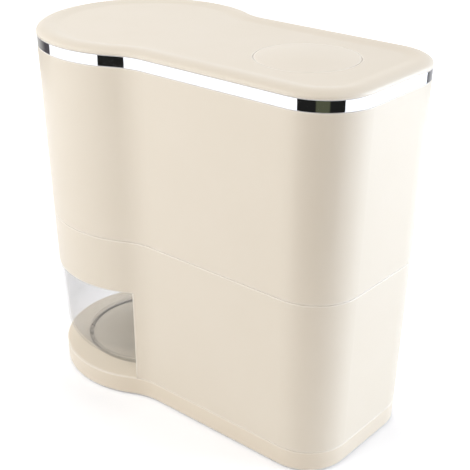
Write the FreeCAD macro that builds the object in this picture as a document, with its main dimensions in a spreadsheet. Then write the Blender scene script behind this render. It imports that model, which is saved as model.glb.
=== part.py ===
import FreeCAD, Part
import math
import os
import Sketcher
from FreeCAD import Placement, Rotation, Vector

os.makedirs("parts", exist_ok=True)
doc = FreeCAD.newDocument("rice_dispenser")
sheet = doc.addObject("Spreadsheet::Sheet", "sizes")


class Size:
    """A number kept together with the spreadsheet expression that gives it."""

    def __init__(self, value, text):
        self.value = float(value)
        self.text = text

    def __add__(self, other):
        other = as_size(other)
        return Size(self.value + other.value, f"({self.text} + {other.text})")

    def __sub__(self, other):
        other = as_size(other)
        return Size(self.value - other.value, f"({self.text} - {other.text})")

    def __mul__(self, other):
        other = as_size(other)
        return Size(self.value * other.value, f"({self.text} * {other.text})")

    def __truediv__(self, other):
        other = as_size(other)
        return Size(self.value / other.value, f"({self.text} / {other.text})")

    def __neg__(self):
        return Size(-self.value, f"(0 - {self.text})")

    def __radd__(self, other):
        return as_size(other) + self

    def __rsub__(self, other):
        return as_size(other) - self

    def __rmul__(self, other):
        return as_size(other) * self


def as_size(term):
    return term if isinstance(term, Size) else Size(term, repr(float(term)))


def tan_of(angle):
    return Size(math.tan(math.radians(angle.value)), f"tan({angle.text})")


def cos_of(angle):
    return Size(math.cos(math.radians(angle.value)), f"cos({angle.text})")


def sin_of(angle):
    return Size(math.sin(math.radians(angle.value)), f"sin({angle.text})")


def root_of(term):
    return Size(math.sqrt(term.value), f"sqrt({term.text})")


rows = 0


def size(alias, value):
    """Writes one driving dimension into the sheet and hands it back as a Size."""
    global rows
    rows += 1
    sheet.set(f"A{rows}", alias)
    sheet.set(f"B{rows}", str(value))
    sheet.setAlias(f"B{rows}", alias)
    return Size(value, f"sizes.{alias}")


# Plan of the body: a round nose, a narrower block behind it, and concave necks between.
rim_length = size("rim_length", 353.6)
rim_width = size("rim_width", 159.0)
nose_radius = size("nose_radius", 96.8)
corner_radius = size("corner_radius", 45.5)
neck_radius = size("neck_radius", 55.0)
draft_angle = size("draft_angle", 1.15)
# Levels, from the table up.
foot_stand = size("foot_stand", 1.5)
plinth_level = size("plinth_level", 19.5)
skirt_level = size("skirt_level", 110.5)
skirt_depth = size("skirt_depth", 2.6)
seam_level = size("seam_level", 161.5)
rim_level = size("rim_level", 325.0)
band_height = size("band_height", 8.5)
# Walls.
wall = size("wall", 2.8)
plate = size("plate", 3.0)
bay_lip = size("bay_lip", 1.6)
gap = size("gap", 0.3)
over = size("cut_overrun", 1.0)
edge_round = size("edge_round", 0.5)
rim_step = size("rim_step", 1.0)
lap_depth = size("lap_depth", 4.0)
seam_reveal = size("seam_reveal", 0.5)
band_wall = size("band_wall", 1.3)
# Bay and drawer bowl.
bay_angle = size("bay_angle", 121.4)
bowl_gap = size("bowl_gap", 0.5)
bowl_drop = size("bowl_drop", 1.5)
bowl_forward = size("bowl_forward", 2.2)
bowl_wall = size("bowl_wall", 2.2)
bowl_lean = size("bowl_lean", 3.4)
bowl_corner = size("bowl_corner", 29.0)
bowl_foot_inset = size("bowl_foot_inset", 18.2)
bowl_foot_height = size("bowl_foot_height", 2.5)
bowl_foot_width = size("bowl_foot_width", 4.0)
grip_angle = size("grip_angle", 64.0)
grip_height = size("grip_height", 11.0)
grip_wall = size("grip_wall", 1.6)
# Metering slide.
press_travel = size("press_travel", 26.0)
portion_length = size("portion_length", 22.0)
portion_width = size("portion_width", 90.0)
portion_front = size("portion_front", -23.0)
slide_wall = size("slide_wall", 3.6)
slide_heel = size("slide_heel", 6.0)
box_wall = size("box_wall", 2.5)
spring_room = size("spring_room", 40.0)
spring_radius = size("spring_radius", 7.0)
spring_wire = size("spring_wire_radius", 0.4)
spring_play = size("spring_play", 0.05)
spring_turns = size("spring_turns", 7.0)
wiper_width = size("wiper_width", 3.0)
wiper_thick = size("wiper_thick", 1.5)
# Press button.
button_length = size("button_length", 64.0)
button_height = size("button_height", 24.0)
button_proud = size("button_proud", 2.2)
button_level = size("button_level", 141.8)
bezel_proud = size("bezel_proud", 1.2)
bezel_border = size("bezel_border", 4.0)
# Hopper floor.
floor_slope = size("floor_slope", 25.0)
side_slope = size("side_slope", 35.0)
floor_margin = size("floor_margin", 3.0)
floor_rise = size("floor_rise", 135.0)
# Lid.
lid_height = size("lid_height", 7.2)
lid_round = size("lid_round", 6.6)
lid_border = size("lid_border", 11.0)
dish_angle = size("dish_angle", 78.0)
lid_dish = size("lid_dish", 2.0)
lid_edge = size("lid_edge", 1.4)
lid_skin = size("lid_skin", 2.4)
liner_plate = size("liner_plate", 2.0)
plug_inset = size("plug_inset", 6.0)
plug_depth = size("plug_depth", 12.0)
plug_wall = size("plug_wall", 2.0)
disc_radius = size("disc_radius", 42.0)
disc_reach = size("disc_reach", 172.0)
disc_thick = size("disc_thick", 1.0)
# Moisture case under the lid.
case_radius = size("case_radius", 35.0)
case_height = size("case_height", 20.0)
case_wall = size("case_wall", 1.6)
case_lug = size("case_lug", 2.2)
collar_depth = size("collar_depth", 9.0)
collar_wall = size("collar_wall", 2.0)
# Feet and screws.
pad_radius = size("pad_radius", 9.0)
pad_height = size("pad_height", 3.0)
screw_radius = size("screw_radius", 1.9)
head_radius = size("head_radius", 3.8)
head_height = size("head_height", 2.2)
post_radius = size("post_radius", 5.0)
screw_reach = size("screw_reach", 11.0)
screw_play = size("screw_play", 0.1)

doc.recompute()

half_width = rim_width / 2
rear_reach = rim_length - nose_radius
nose_place = nose_radius - rim_length / 2
draft = tan_of(draft_angle)
band_level = rim_level - band_height
lid_level = rim_level + gap
top_level = lid_level + lid_height
panel_level = top_level - lid_dish
liner_level = panel_level - lid_skin
ceiling_top = skirt_level + plate + skirt_depth
ceiling_bottom = ceiling_top - plate
box_top = seam_level - plate
neck_top = rim_level - rim_step


def inset_at(level):
    """How far the drafted outline lies inside the rim's outline at a level."""
    return (rim_level - level) * draft


def nose_at(level):
    return nose_radius - inset_at(level)


def bind(item, name, term):
    item.setExpression(name, as_size(term).text)


def new_body(label, reach=0):
    """A body whose own origin stands behind the axis of the round nose by reach."""
    body = doc.addObject("PartDesign::Body", label)
    body.Label = label
    bind(body, "Placement.Base.y", nose_place + reach)
    return body


def sketch_on(body, role, level, name):
    plane = [item for item in body.Origin.OriginFeatures if item.Role == role][0]
    sketch = body.newObject("Sketcher::SketchObject", name)
    sketch.AttachmentSupport = [(plane, "")]
    sketch.MapMode = "FlatFace"
    bind(sketch, "AttachmentOffset.Base.z", level)
    return sketch


def hold(sketch, label, term, kind, *where):
    """Adds one driving constraint and ties it to the sheet."""
    term = as_size(term)
    index = sketch.addConstraint(Sketcher.Constraint(kind, *where, term.value))
    sketch.renameConstraint(index, label)
    bind(sketch, f"Constraints.{label}", term)


def arc(centre, radius, start, end):
    circle = Part.Circle(Vector(centre[0], centre[1], 0), Vector(0, 0, 1), radius)
    return Part.ArcOfCircle(circle, start, end)


def keyhole(body, level, inset, name):
    """The body's outline at one level: nose arc, two neck arcs, sides, corners and rear."""
    sketch = sketch_on(body, "XY_Plane", level, name)
    nose = nose_radius - inset
    half = half_width - inset
    rear = rear_reach - inset
    corner = corner_radius - inset
    neck = neck_radius + inset
    side = half.value + neck.value
    neck_y = math.sqrt((nose.value + neck.value) ** 2 - side ** 2)
    lean = math.atan2(neck_y, side)
    turn = math.pi
    low = Vector(half.value, neck_y, 0)
    high = Vector(half.value, rear.value - corner.value, 0)
    bend = half.value - corner.value
    flip = [Vector(-point.x, point.y, 0) for point in (low, high)]
    nose_arc = sketch.addGeometry(arc((0, 0), nose.value, turn - lean, 2 * turn + lean))
    right_neck = sketch.addGeometry(arc((side, neck_y), neck.value, turn, turn + lean))
    right = sketch.addGeometry(Part.LineSegment(low, high))
    right_bend = sketch.addGeometry(arc((bend, high.y), corner.value, 0, turn / 2))
    back = sketch.addGeometry(Part.LineSegment(Vector(bend, rear.value, 0), Vector(-bend, rear.value, 0)))
    left_bend = sketch.addGeometry(arc((-bend, high.y), corner.value, turn / 2, turn))
    left = sketch.addGeometry(Part.LineSegment(flip[1], flip[0]))
    left_neck = sketch.addGeometry(arc((-side, neck_y), neck.value, 2 * turn - lean, 2 * turn))
    joints = [(nose_arc, 2, right_neck, 2), (right_neck, 1, right, 1), (right, 2, right_bend, 1),
              (right_bend, 2, back, 1), (back, 2, left_bend, 1), (left_bend, 2, left, 1),
              (left, 2, left_neck, 2), (left_neck, 1, nose_arc, 1)]
    for joint in joints:
        sketch.addConstraint(Sketcher.Constraint("Tangent", *joint))
    sketch.addConstraint(Sketcher.Constraint("Coincident", nose_arc, 3, -1, 1))
    sketch.addConstraint(Sketcher.Constraint("Vertical", right))
    sketch.addConstraint(Sketcher.Constraint("Vertical", left))
    sketch.addConstraint(Sketcher.Constraint("Horizontal", back))
    sketch.addConstraint(Sketcher.Constraint("Equal", right_bend, left_bend))
    sketch.addConstraint(Sketcher.Constraint("Equal", right_neck, left_neck))
    hold(sketch, "nose", nose, "Radius", nose_arc)
    hold(sketch, "neck", neck, "Radius", right_neck)
    hold(sketch, "corner", corner, "Radius", right_bend)
    hold(sketch, "right", half, "DistanceX", -1, 1, right, 1)
    hold(sketch, "left", half, "DistanceX", left, 1, -1, 1)
    hold(sketch, "rear", rear, "DistanceY", -1, 1, back, 1)
    return sketch


def polygon(body, role, level, points, name):
    """A closed outline of straight edges, each corner held by its two distances."""
    sketch = sketch_on(body, role, level, name)
    points = [(as_size(x), as_size(y)) for x, y in points]
    corners = [Vector(x.value, y.value, 0) for x, y in points]
    count = len(corners)
    for index in range(count):
        sketch.addGeometry(Part.LineSegment(corners[index], corners[(index + 1) % count]))
    for index in range(count):
        follower = (index + 1) % count
        sketch.addConstraint(Sketcher.Constraint("Coincident", index, 2, follower, 1))
    for index, (x, y) in enumerate(points):
        hold(sketch, f"x{index}", x, "DistanceX", -1, 1, index, 1)
        hold(sketch, f"y{index}", y, "DistanceY", -1, 1, index, 1)
    return sketch


def box_outline(body, role, level, low, high, name):
    corners = [(low[0], low[1]), (high[0], low[1]), (high[0], high[1]), (low[0], high[1])]
    return polygon(body, role, level, corners, name)


def rings(body, role, level, centres, radius, name):
    """One or more circles of the same radius."""
    sketch = sketch_on(body, role, level, name)
    for index, (x, y) in enumerate(centres):
        x, y, radius = as_size(x), as_size(y), as_size(radius)
        sketch.addGeometry(Part.Circle(Vector(x.value, y.value, 0), Vector(0, 0, 1), radius.value))
        hold(sketch, f"r{index}", radius, "Radius", index)
        hold(sketch, f"x{index}", x, "DistanceX", -1, 1, index, 3)
        hold(sketch, f"y{index}", y, "DistanceY", -1, 1, index, 3)
    return sketch


def stadium(body, level, length, height, middle, name):
    """A round-ended slot shape, lying along X at the height middle, seen from the front."""
    sketch = sketch_on(body, "XZ_Plane", level, name)
    radius = height / 2
    reach = length / 2 - radius
    end, up = reach.value, middle.value
    quarter = math.pi / 2
    right = sketch.addGeometry(arc((end, up), radius.value, -quarter, quarter))
    top = sketch.addGeometry(Part.LineSegment(Vector(end, up + radius.value, 0),
                                              Vector(-end, up + radius.value, 0)))
    left = sketch.addGeometry(arc((-end, up), radius.value, quarter, 3 * quarter))
    low = sketch.addGeometry(Part.LineSegment(Vector(-end, up - radius.value, 0),
                                              Vector(end, up - radius.value, 0)))
    for joint in [(right, 2, top, 1), (top, 2, left, 1), (left, 2, low, 1), (low, 2, right, 1)]:
        sketch.addConstraint(Sketcher.Constraint("Tangent", *joint))
    sketch.addConstraint(Sketcher.Constraint("Equal", right, left))
    hold(sketch, "radius", radius, "Radius", right)
    hold(sketch, "right_x", reach, "DistanceX", -1, 1, right, 3)
    hold(sketch, "right_z", middle, "DistanceY", -1, 1, right, 3)
    hold(sketch, "left_x", reach, "DistanceX", left, 3, -1, 1)
    hold(sketch, "left_z", middle, "DistanceY", -1, 1, left, 3)
    return sketch


def raise_pad(body, sketch, length, name, taper=None, reverse=False):
    """A pad away from its sketch; a taper angle above zero widens it on the way."""
    feature = body.newObject("PartDesign::Pad", name)
    feature.Profile = sketch
    bind(feature, "Length", length)
    feature.Reversed = reverse
    if taper is not None:
        bind(feature, "TaperAngle", taper)
    sketch.Visibility = False
    return feature


def cut_pocket(body, sketch, depth, name, taper=None, reverse=False):
    """A pocket downwards from its sketch, or upwards where reverse is set."""
    feature = body.newObject("PartDesign::Pocket", name)
    feature.Profile = sketch
    feature.Type = "Length"
    bind(feature, "Length", depth)
    feature.Reversed = reverse
    if taper is not None:
        bind(feature, "TaperAngle", taper)
    return feature


def turn(body, sketch, kind, name, angle=None):
    """A revolution or groove about the body's own upright axis."""
    feature = body.newObject(f"PartDesign::{kind}", name)
    feature.Profile = sketch
    axis = [item for item in body.Origin.OriginFeatures if item.Role == "Z_Axis"][0]
    feature.ReferenceAxis = (axis, [""])
    feature.Angle = 360
    if angle is not None:
        feature.Midplane = True
        bind(feature, "Angle", angle)
    return feature


def round_edges(body, base, radius, test, name):
    """Rounds the edges of base that pass the test."""
    doc.recompute()
    chosen = [f"Edge{i + 1}" for i, edge in enumerate(base.Shape.Edges) if test(edge)]
    feature = body.newObject("PartDesign::Fillet", name)
    feature.Base = (base, chosen)
    bind(feature, "Radius", radius)
    return feature


def on_cylinder(edge, radius):
    return all(abs(math.hypot(end.X, end.Y) - radius) < 0.01 for end in edge.Vertexes)


def at_level(edge, level):
    box = edge.BoundBox
    return abs(box.ZMin - level) < 0.01 and abs(box.ZMax - level) < 0.01


# ---- plinth: an open tray turned over, with ribs, foot sockets and screw holes -------------
base_plate = new_body("base_plate")
plinth_outline = keyhole(base_plate, foot_stand, inset_at(foot_stand), "plinth_outline")
plinth_solid = raise_pad(base_plate, plinth_outline, plinth_level - foot_stand, "plinth_solid",
                         taper=draft_angle)
plinth_edge = size("plinth_edge", 1.0)
doc.recompute()
plinth_round = round_edges(base_plate, plinth_solid, plinth_edge,
                           lambda edge: at_level(edge, plinth_level.value), "plinth_round")
tray_outline = keyhole(base_plate, foot_stand, inset_at(foot_stand) + wall, "tray_outline")
cut_pocket(base_plate, tray_outline, plinth_level - plate - foot_stand, "tray_hollow", reverse=True)
tray_half = half_width - inset_at(foot_stand) - wall / 2
tray_back = rear_reach - inset_at(foot_stand) - wall / 2
tray_front = nose_radius - inset_at(foot_stand) - wall / 2
rib_low = foot_stand + size("rib_rise", 2.0)
rib_top = plinth_level - plate / 2
rib_half = size("rib_thick", 2.0) / 2
rib_side = size("rib_side", 34.0)
rib_front = root_of(tray_front * tray_front - rib_side * rib_side)
cross_ribs = [size("cross_rib_1", 60.0), size("cross_rib_2", 120.0), size("cross_rib_3", 180.0)]
for index, side in enumerate([-1, 1]):
    middle = rib_side * side
    long_rib = box_outline(base_plate, "XY_Plane", rib_low, (middle - rib_half, -rib_front),
                           (middle + rib_half, tray_back), f"long_rib_outline_{index}")
    raise_pad(base_plate, long_rib, rib_top - rib_low, f"long_rib_{index}")
for index, reach in enumerate(cross_ribs):
    cross = box_outline(base_plate, "XY_Plane", rib_low, (-tray_half, reach - rib_half),
                        (tray_half, reach + rib_half), f"cross_rib_outline_{index}")
    raise_pad(base_plate, cross, rib_top - rib_low, f"cross_rib_{index}")
foot_side = size("foot_side", 52.0)
foot_front = size("foot_front", -48.0)
foot_middle = size("foot_middle", 108.0)
foot_back = size("foot_back", 228.0)
foot_places = [(foot_side * side, reach)
               for reach in (foot_front, foot_middle, foot_back) for side in (-1, 1)]
boss_radius = pad_radius + size("boss_wall", 2.0)
foot_bosses = rings(base_plate, "XY_Plane", foot_stand, foot_places, boss_radius, "foot_bosses")
raise_pad(base_plate, foot_bosses, plinth_level - plate / 2 - foot_stand, "foot_boss_pad")
foot_sockets = rings(base_plate, "XY_Plane", foot_stand, foot_places, pad_radius + gap, "foot_sockets")
cut_pocket(base_plate, foot_sockets, pad_height - foot_stand, "foot_socket_cut", reverse=True)
post_inset = inset_at(foot_stand) + wall + head_radius + gap
post_side = half_width - post_inset
post_front = size("post_front", 86.0)
post_middle = size("post_middle", 166.0)
rear_side = size("rear_side", 22.0)
post_places = [(post_side * side, reach) for reach in (post_front, post_middle) for side in (-1, 1)]
post_places += [(rear_side * side, rear_reach - post_inset) for side in (-1, 1)]
base_holes = rings(base_plate, "XY_Plane", foot_stand, post_places, screw_radius + screw_play,
                   "base_holes")
cut_pocket(base_plate, base_holes, plinth_level - foot_stand + over, "base_hole_cut", reverse=True)

# ---- lower housing: block with the open bay under the nose ---------------------------------
lower_housing = new_body("lower_housing")
lower_outline = keyhole(lower_housing, plinth_level, inset_at(plinth_level), "lower_outline")
lower_solid = raise_pad(lower_housing, lower_outline, seam_level - plinth_level, "lower_solid",
                        taper=draft_angle)
round_edges(lower_housing, lower_solid, edge_round,
            lambda edge: at_level(edge, seam_level.value) or at_level(edge, plinth_level.value),
            "lower_rounds")
works_outline = keyhole(lower_housing, seam_level, inset_at(seam_level) + wall, "works_outline")
cut_pocket(lower_housing, works_outline, seam_level - ceiling_top, "works_room", taper=-draft_angle)
bay_low = nose_at(plinth_level) - bay_lip
bay_high = nose_at(ceiling_bottom) - bay_lip
bay_back = bay_high + wall


def back_room(body, level, name):
    """Outline of the hollow block behind the bay: a concave front arc, sides, corners and rear."""
    sketch = sketch_on(body, "XY_Plane", level, name)
    inset = inset_at(plinth_level) + wall
    half, rear = half_width - inset, rear_reach - inset
    corner = corner_radius - inset
    side, bend = half.value, half.value - corner.value
    low = math.sqrt(bay_back.value ** 2 - side ** 2)
    high = rear.value - corner.value
    lean = math.atan2(low, side)
    quarter = math.pi / 2
    right = sketch.addGeometry(Part.LineSegment(Vector(side, low, 0), Vector(side, high, 0)))
    right_bend = sketch.addGeometry(arc((bend, high), corner.value, 0, quarter))
    back = sketch.addGeometry(Part.LineSegment(Vector(bend, rear.value, 0), Vector(-bend, rear.value, 0)))
    left_bend = sketch.addGeometry(arc((-bend, high), corner.value, quarter, 2 * quarter))
    left = sketch.addGeometry(Part.LineSegment(Vector(-side, high, 0), Vector(-side, low, 0)))
    front = sketch.addGeometry(arc((0, 0), bay_back.value, lean, math.pi - lean))
    for joint in [(right, 2, right_bend, 1), (right_bend, 2, back, 1), (back, 2, left_bend, 1),
                  (left_bend, 2, left, 1)]:
        sketch.addConstraint(Sketcher.Constraint("Tangent", *joint))
    sketch.addConstraint(Sketcher.Constraint("Coincident", left, 2, front, 2))
    sketch.addConstraint(Sketcher.Constraint("Coincident", right, 1, front, 1))
    sketch.addConstraint(Sketcher.Constraint("Coincident", front, 3, -1, 1))
    sketch.addConstraint(Sketcher.Constraint("Vertical", right))
    sketch.addConstraint(Sketcher.Constraint("Vertical", left))
    sketch.addConstraint(Sketcher.Constraint("Horizontal", back))
    sketch.addConstraint(Sketcher.Constraint("Equal", right_bend, left_bend))
    hold(sketch, "corner", corner, "Radius", right_bend)
    hold(sketch, "right", half, "DistanceX", -1, 1, right, 1)
    hold(sketch, "left", half, "DistanceX", left, 1, -1, 1)
    hold(sketch, "rear", rear, "DistanceY", -1, 1, back, 1)
    hold(sketch, "front", bay_back, "Radius", front)
    return sketch


back_outline = back_room(lower_housing, plinth_level, "back_outline")
cut_pocket(lower_housing, back_outline, ceiling_top - plinth_level, "back_room", reverse=True)
bay_section = polygon(lower_housing, "XZ_Plane", 0,
                      [(0, plinth_level), (bay_low, plinth_level), (bay_high, ceiling_bottom),
                       (0, ceiling_bottom)], "bay_section")
turn(lower_housing, bay_section, "Groove", "bay")
beyond = rim_length / 2
mouth_x = beyond * sin_of(bay_angle)
mouth_y = -(beyond * cos_of(bay_angle))
mouth_outline = polygon(lower_housing, "XY_Plane", plinth_level,
                        [(0, 0), (mouth_x, mouth_y), (beyond, -beyond), (-beyond, -beyond),
                         (-mouth_x, mouth_y)], "mouth_outline")
cut_pocket(lower_housing, mouth_outline, skirt_level - plinth_level, "bay_mouth", reverse=True)
lap_wall = wall / 2
rebate = keyhole(lower_housing, seam_level, inset_at(seam_level) + lap_wall, "rebate_outline")
cut_pocket(lower_housing, rebate, lap_depth, "rebate", taper=-draft_angle)
post_height = size("post_height", 24.0)
posts = rings(lower_housing, "XY_Plane", plinth_level, post_places, post_radius, "posts")
raise_pad(lower_housing, posts, post_height, "post_pads")
pilots = rings(lower_housing, "XY_Plane", plinth_level, post_places, screw_radius + screw_play, "pilots")
cut_pocket(lower_housing, pilots, screw_reach + over, "pilot_holes", reverse=True)

# Metering slide: one portion hole that travels from the hopper's slot to the outlet.
slot_half = portion_width / 2
slot_back = portion_front + portion_length
slide_front = portion_front - press_travel
slide_back = slot_back + slide_heel
outlet_front = portion_front + press_travel
outlet_back = outlet_front + portion_length
slide_half = slot_half + slide_wall
channel_half = slide_half + gap
box_half = channel_half + box_wall
box_back = slide_back + spring_room
collar_rim = size("collar_rim", 2.0)
collar_low = skirt_level + gap
outlet_hole = box_outline(lower_housing, "XY_Plane", ceiling_bottom - over,
                          (-slot_half - collar_rim - gap, outlet_front - collar_rim - gap),
                          (slot_half + collar_rim + gap, outlet_back + collar_rim + gap), "outlet_hole")
cut_pocket(lower_housing, outlet_hole, plate + over * 2, "outlet_cut", reverse=True)
box_post_side = box_half + size("box_post_reach", 3.2)
box_post_front = slide_front + size("box_post_front", 9.0)
box_post_back = box_back - size("box_post_back", 7.0)
box_posts = [(box_post_side * side, reach)
             for reach in (box_post_front, box_post_back) for side in (-1, 1)]
ceiling_holes = rings(lower_housing, "XY_Plane", ceiling_bottom - over, box_posts,
                      screw_radius + screw_play, "ceiling_holes")
cut_pocket(lower_housing, ceiling_holes, plate + over * 2, "ceiling_hole_cut", reverse=True)
nose_here = nose_at(button_level)
button_inside = nose_here - size("button_depth", 12.0)
bezel_wall = size("bezel_wall", 1.2)
button_play = size("button_play", 0.4)
tube_length = button_length + (button_play + bezel_wall) * 2
tube_height = button_height + (button_play + bezel_wall) * 2
hole_depth = size("button_hole_depth", 18.0)
button_hole = stadium(lower_housing, nose_here - hole_depth, tube_length + gap * 2, tube_height + gap * 2,
                      button_level, "button_hole")
cut_pocket(lower_housing, button_hole, hole_depth + over, "button_hole_cut", reverse=True)

# ---- upper housing: the hopper's wall, with a tongue below and a neck for the band ----------
band_play = size("band_play", 0.2)
upper_housing = new_body("upper_housing")
upper_low = seam_level + seam_reveal
upper_outline = keyhole(upper_housing, upper_low, inset_at(upper_low), "upper_outline")
upper_solid = raise_pad(upper_housing, upper_outline, band_level - upper_low, "upper_solid",
                        taper=draft_angle)
round_edges(upper_housing, upper_solid, edge_round, lambda edge: at_level(edge, upper_low.value),
            "upper_round")
neck_outline = keyhole(upper_housing, band_level, inset_at(band_level) + band_wall + band_play,
                       "neck_outline")
raise_pad(upper_housing, neck_outline, neck_top - band_level, "neck_solid", taper=draft_angle)
tongue_low = seam_level - lap_depth
tongue_outline = keyhole(upper_housing, tongue_low, inset_at(tongue_low) + lap_wall + band_play,
                         "tongue_outline")
raise_pad(upper_housing, tongue_outline, lap_depth + seam_reveal, "tongue_solid", taper=draft_angle)
hopper_outline = keyhole(upper_housing, neck_top, inset_at(neck_top) + wall, "hopper_outline")
cut_pocket(upper_housing, hopper_outline, neck_top - tongue_low, "hopper_bore", taper=-draft_angle)

# ---- bright band round the rim --------------------------------------------------------------
trim_ring = new_body("trim_ring")
band_outline = keyhole(trim_ring, band_level, inset_at(band_level), "band_outline")
raise_pad(trim_ring, band_outline, band_height, "band_solid", taper=draft_angle)
band_bore = keyhole(trim_ring, rim_level, band_wall, "band_bore_outline")
cut_pocket(trim_ring, band_bore, band_height, "band_bore", taper=-draft_angle)

# ---- lid: rounded cover with a dished top, liner with its plug, seal and flush disc ---------
lid_cover = new_body("lid_cover")
cover_outline = keyhole(lid_cover, lid_level, 0, "cover_outline")
cover_solid = raise_pad(lid_cover, cover_outline, lid_height, "cover_solid")
doc.recompute()
round_edges(lid_cover, cover_solid, lid_round, lambda edge: at_level(edge, top_level.value), "cover_round")
dish_outline = keyhole(lid_cover, top_level, lid_border, "dish_outline")
cut_pocket(lid_cover, dish_outline, lid_dish, "dish", taper=-dish_angle)
hollow_outline = keyhole(lid_cover, lid_level, lid_edge, "hollow_outline")
cut_pocket(lid_cover, hollow_outline, liner_level - lid_level, "cover_hollow", reverse=True)
disc_seat = rings(lid_cover, "XY_Plane", panel_level, [(0, disc_reach)], disc_radius + gap, "disc_seat")
cut_pocket(lid_cover, disc_seat, disc_thick, "disc_seat_cut")

lid_disc = new_body("lid_disc", disc_reach)
disc_outline = rings(lid_disc, "XY_Plane", panel_level - disc_thick, [(0, 0)], disc_radius, "disc_outline")
raise_pad(lid_disc, disc_outline, disc_thick, "disc_solid")

lid_liner = new_body("lid_liner")
flange_low = liner_level - liner_plate
plug_low = neck_top - plug_depth
plug_outline = keyhole(lid_liner, plug_low, plug_inset, "plug_outline")
raise_pad(lid_liner, plug_outline, liner_level - plug_low, "plug_solid")
plug_bore = keyhole(lid_liner, plug_low, plug_inset + plug_wall, "plug_bore_outline")
cut_pocket(lid_liner, plug_bore, flange_low - plug_low, "plug_bore", reverse=True)
flange_outline = keyhole(lid_liner, flange_low, lid_edge + gap, "flange_outline")
raise_pad(lid_liner, flange_outline, liner_plate, "flange_solid")
lug_reach = case_radius + case_lug
collar_inner = lug_reach + gap
collar_low_level = flange_low - collar_depth
collar_outline = rings(lid_liner, "XY_Plane", collar_low_level, [(0, disc_reach)],
                       collar_inner + collar_wall, "collar_outline")
raise_pad(lid_liner, collar_outline, collar_depth + liner_plate / 2, "collar_solid")
ledge_height = size("ledge_height", 2.0)
collar_bore = rings(lid_liner, "XY_Plane", collar_low_level + ledge_height, [(0, disc_reach)],
                    collar_inner, "collar_bore_outline")
cut_pocket(lid_liner, collar_bore, collar_depth - ledge_height, "collar_bore", reverse=True)
ledge_bore = rings(lid_liner, "XY_Plane", collar_low_level, [(0, disc_reach)], case_radius + gap,
                   "ledge_bore_outline")
cut_pocket(lid_liner, ledge_bore, ledge_height + over, "ledge_bore", reverse=True)
lug_half = size("lug_half", 4.5)
notch_half = lug_half + size("notch_play", 1.2)
ledge_notch = box_outline(lid_liner, "XY_Plane", collar_low_level,
                          (-notch_half, disc_reach - collar_inner),
                          (notch_half, disc_reach + collar_inner), "notch_outline")
cut_pocket(lid_liner, ledge_notch, ledge_height + over, "notches", reverse=True)

lid_seal = new_body("lid_seal")
seal_low = plug_low + size("seal_rise", 3.0)
seal_inset = size("seal_inset", 4.2)
seal_lip = size("seal_lip", 3.4)
seal_outline = keyhole(lid_seal, neck_top, lid_edge + gap, "seal_outline")
raise_pad(lid_seal, seal_outline, flange_low - neck_top, "seal_flange")
sleeve_outline = keyhole(lid_seal, seal_low, seal_inset, "sleeve_outline")
raise_pad(lid_seal, sleeve_outline, neck_top - seal_low, "seal_sleeve")
lip_outline = keyhole(lid_seal, seal_low + size("lip_rise", 1.0), seal_lip, "lip_outline")
raise_pad(lid_seal, lip_outline, size("lip_height", 1.4), "seal_lip_pad")
seal_bore = keyhole(lid_seal, flange_low, plug_inset - size("seal_play", 0.1), "seal_bore_outline")
cut_pocket(lid_seal, seal_bore, flange_low - seal_low, "seal_bore")

# ---- moisture case: a vented cup that twists into the liner's collar, and its cap -----------
case_cup = new_body("case_cup", disc_reach)
cap_thick = size("cap_thick", 1.6)
case_top = flange_low - gap - cap_thick
case_low = case_top - case_height
cup_outline = rings(case_cup, "XY_Plane", case_low, [(0, 0)], case_radius, "cup_outline")
raise_pad(case_cup, cup_outline, case_height, "cup_solid")
lug_level = collar_low_level + ledge_height
lug_height = size("lug_height", 2.0)
lug_outline = box_outline(case_cup, "XZ_Plane", -lug_half, (-lug_reach, lug_level),
                          (lug_reach, lug_level + lug_height), "lug_outline")
raise_pad(case_cup, lug_outline, lug_half * 2, "lug_bar")
lug_round = polygon(case_cup, "XZ_Plane", 0,
                    [(lug_reach, lug_level - over), (lug_reach + over, lug_level - over),
                     (lug_reach + over, lug_level + lug_height + over),
                     (lug_reach, lug_level + lug_height + over)],
                    "lug_round_outline")
turn(case_cup, lug_round, "Groove", "lug_round")
cup_bore = rings(case_cup, "XY_Plane", case_top, [(0, 0)], case_radius - case_wall, "cup_bore_outline")
cut_pocket(case_cup, cup_bore, case_height - case_wall, "cup_bore")
vent_inner = size("vent_inner", 8.0)
vent_outer = size("vent_outer", 30.0)
vent_half = size("vent_width", 2.4) / 2
vent_count = size("vent_count", 12)
vent_outline = box_outline(case_cup, "XY_Plane", case_low, (-vent_half, vent_inner),
                           (vent_half, vent_outer), "vent_outline")
vent = cut_pocket(case_cup, vent_outline, case_wall + over, "vent", reverse=True)
vents = case_cup.newObject("PartDesign::PolarPattern", "vents")
vents.Originals = [vent]
vents.Axis = ([item for item in case_cup.Origin.OriginFeatures if item.Role == "Z_Axis"][0], [""])
vents.Angle = 360
bind(vents, "Occurrences", vent_count)
case_cup.Tip = vents

case_cap = new_body("case_cap", disc_reach)
cap_outline = rings(case_cap, "XY_Plane", case_top, [(0, 0)], case_radius, "cap_outline")
raise_pad(case_cap, cap_outline, cap_thick, "cap_solid")
cap_ring = rings(case_cap, "XY_Plane", case_top - cap_thick, [(0, 0)], case_radius - case_wall - gap,
                 "cap_ring")
raise_pad(case_cap, cap_ring, cap_thick, "cap_plug")

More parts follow.
